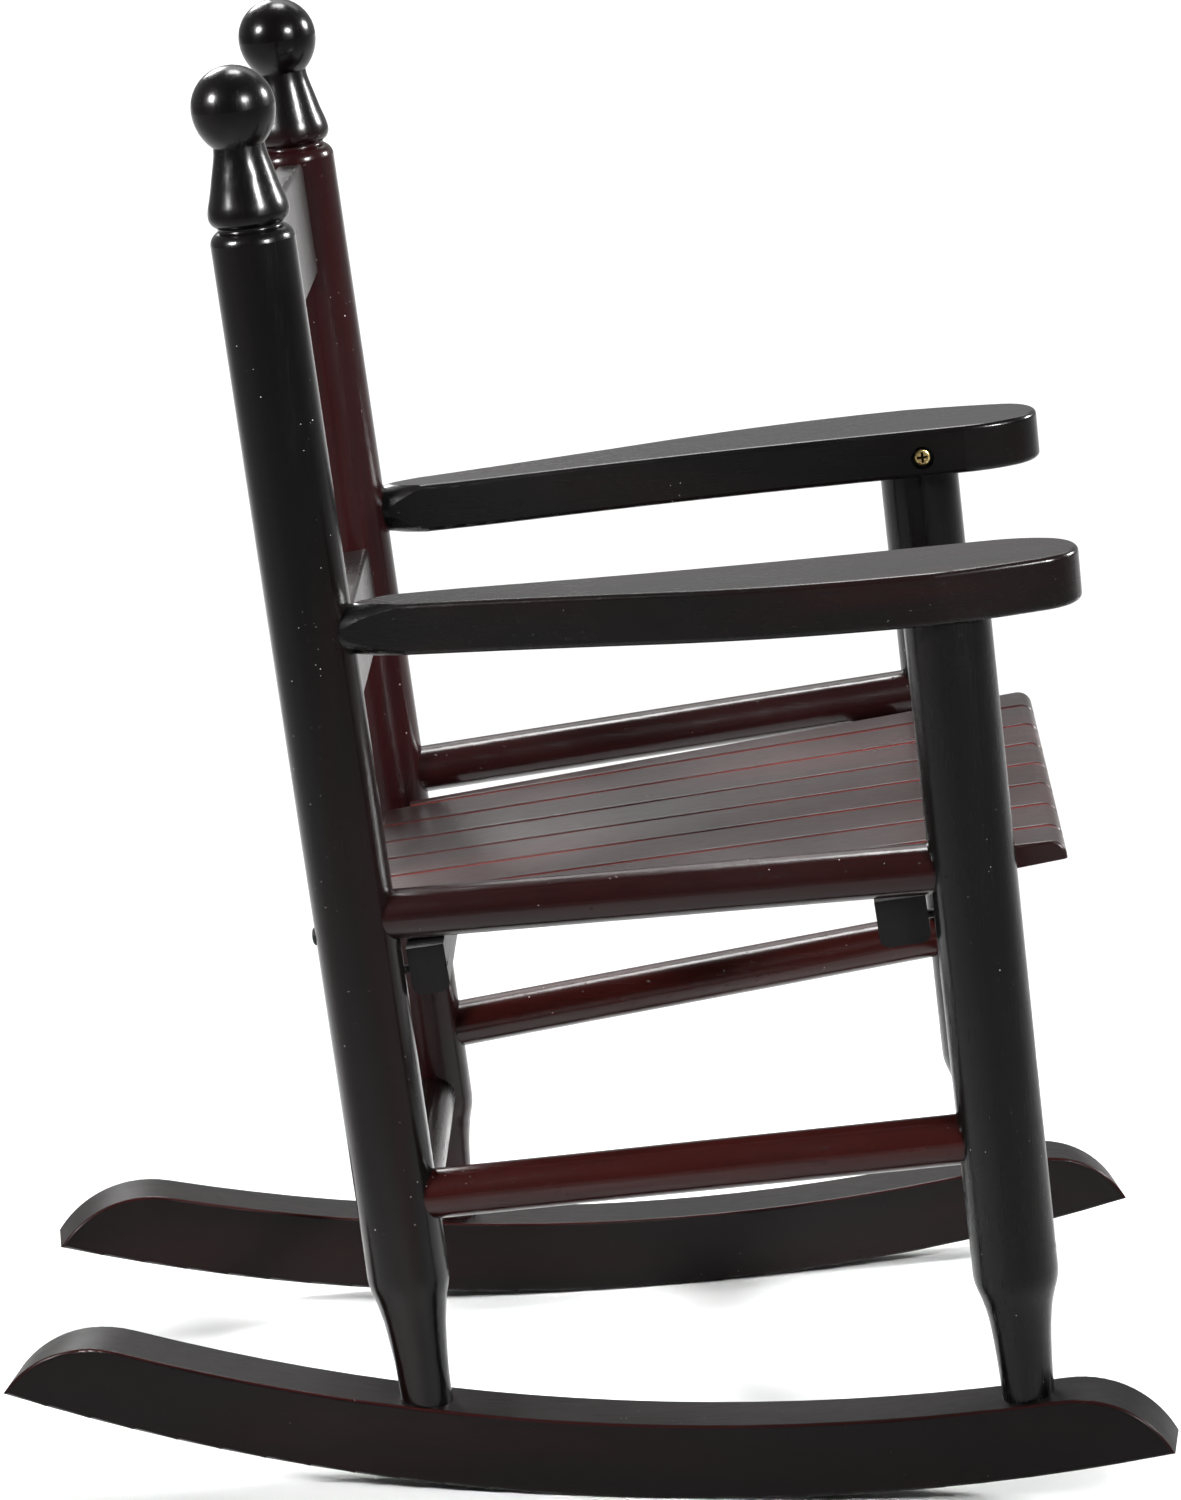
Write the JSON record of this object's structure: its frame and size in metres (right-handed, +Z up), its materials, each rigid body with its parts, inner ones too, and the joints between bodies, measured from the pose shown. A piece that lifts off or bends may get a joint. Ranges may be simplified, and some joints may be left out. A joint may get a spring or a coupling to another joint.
{
  "type": "rocking chair",
  "caption": "Small wooden porch rocking chair for a child, with turned posts and ball finials, two back slats, flat arms, a slatted seat and curved rockers",
  "frame": {"origin": "Bottom centre of the chair's box: on the floor, midway from side to side and midway between the rockers' tips", "axes": "+Z up; the chair faces -Y, and +X is at the sitter's left"},
  "size_m": [0.3296, 0.4706, 0.5729],
  "materials": {
    "frame_lacquer": "gloss dark espresso lacquer, nearly black",
    "rocker_lacquer": "gloss dark espresso lacquer, nearly black",
    "rung_lacquer": "gloss dark cherry-brown lacquer",
    "arm_lacquer": "satin-gloss espresso lacquer",
    "seat_lacquer": "satin-gloss espresso lacquer, redder in the gaps",
    "slat_lacquer": "satin-gloss espresso lacquer over fine vertical grain",
    "brass_screw": "bright zinc-yellow cross-head screw",
    "black_screw": "black oxide cross-head screw"
  },
  "bodies": {
    "root": {"rocker_left": "rocker_lacquer", "front_leg_left": "frame_lacquer", "back_post_left": "frame_lacquer", "arm_left": "arm_lacquer", "side_rail_left": "rung_lacquer", "side_rung_left": "rung_lacquer", "rocker_right": "rocker_lacquer", "front_leg_right": "frame_lacquer", "back_post_right": "frame_lacquer", "arm_right": "arm_lacquer", "side_rail_right": "rung_lacquer", "side_rung_right": "rung_lacquer", "front_stretcher": "rung_lacquer", "rear_stretcher": "rung_lacquer", "back_slat_top": "slat_lacquer", "back_slat_middle": "slat_lacquer", "seat_slat_5": "seat_lacquer", "seat_slat_4": "seat_lacquer", "seat_slat_6": "seat_lacquer", "seat_slat_3": "seat_lacquer", "seat_slat_7": "seat_lacquer", "seat_slat_2": "seat_lacquer", "seat_slat_8": "seat_lacquer", "seat_slat_1": "seat_lacquer", "seat_support_front": "frame_lacquer", "seat_support_rear": "frame_lacquer", "arm_screws": "brass_screw", "rail_screws": "black_screw", "rocker_screws": "black_screw", "seat_support_screws": "black_screw", "slat_screws": "black_screw"}
  },
  "joints": []
}
